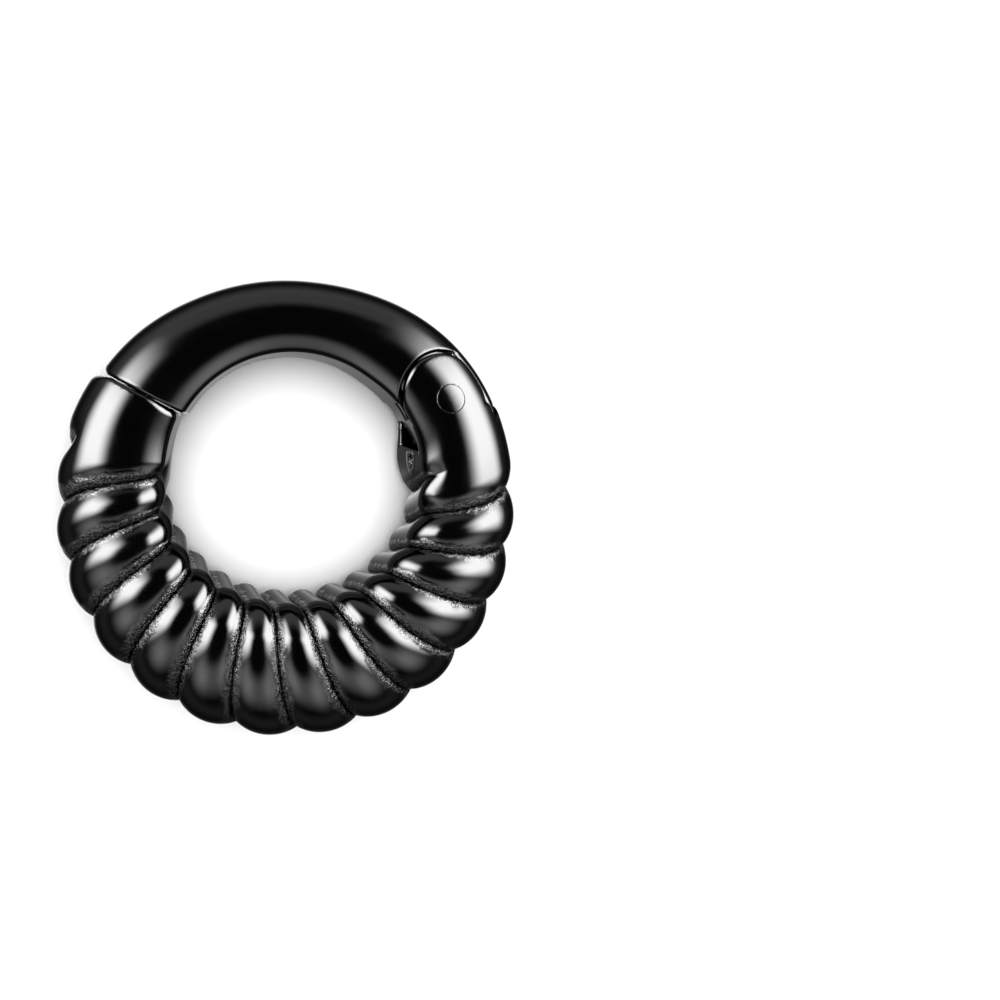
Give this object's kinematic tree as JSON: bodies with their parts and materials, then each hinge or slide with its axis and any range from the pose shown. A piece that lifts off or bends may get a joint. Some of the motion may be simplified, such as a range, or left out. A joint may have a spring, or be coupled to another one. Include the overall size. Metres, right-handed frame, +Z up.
{
  "type": "hinged ear weight",
  "caption": "Tapered ring ear weight in polished black steel: a heavy arc with helical ridges and a smooth hinged gate that clicks shut.",
  "frame": {"origin": "centre of the bounding box at the floor that the ring lies on", "axes": "+Z up, out of the ring's front face but for the 4.4 degree tilt at which the tapered ring lies; +Y towards the gate; +X towards the hinge"},
  "size_m": [0.03, 0.0298, 0.0097],
  "materials": {
    "black_steel_body": "mirror-polished black coating on the ridges and shoulders, rough cast grain in the grooves",
    "black_steel_gate": "mirror-polished black coating",
    "black_steel_pin": "mirror-polished black coating",
    "plain_steel": "plain machined steel"
  },
  "bodies": {
    "arc": {"weight_body": "black_steel_body", "hinge_pin": "black_steel_pin"},
    "gate": {"gate": "black_steel_gate", "latch_tongue": "plain_steel"}
  },
  "joints": [
    {"name": "gate_hinge", "type": "hinge", "parent": "arc", "child": "gate", "pos_m": [0.00995, 0.00727, 0.00367], "axis": [0, -0.0747, -0.9972], "range_deg": [0, 75]}
  ]
}
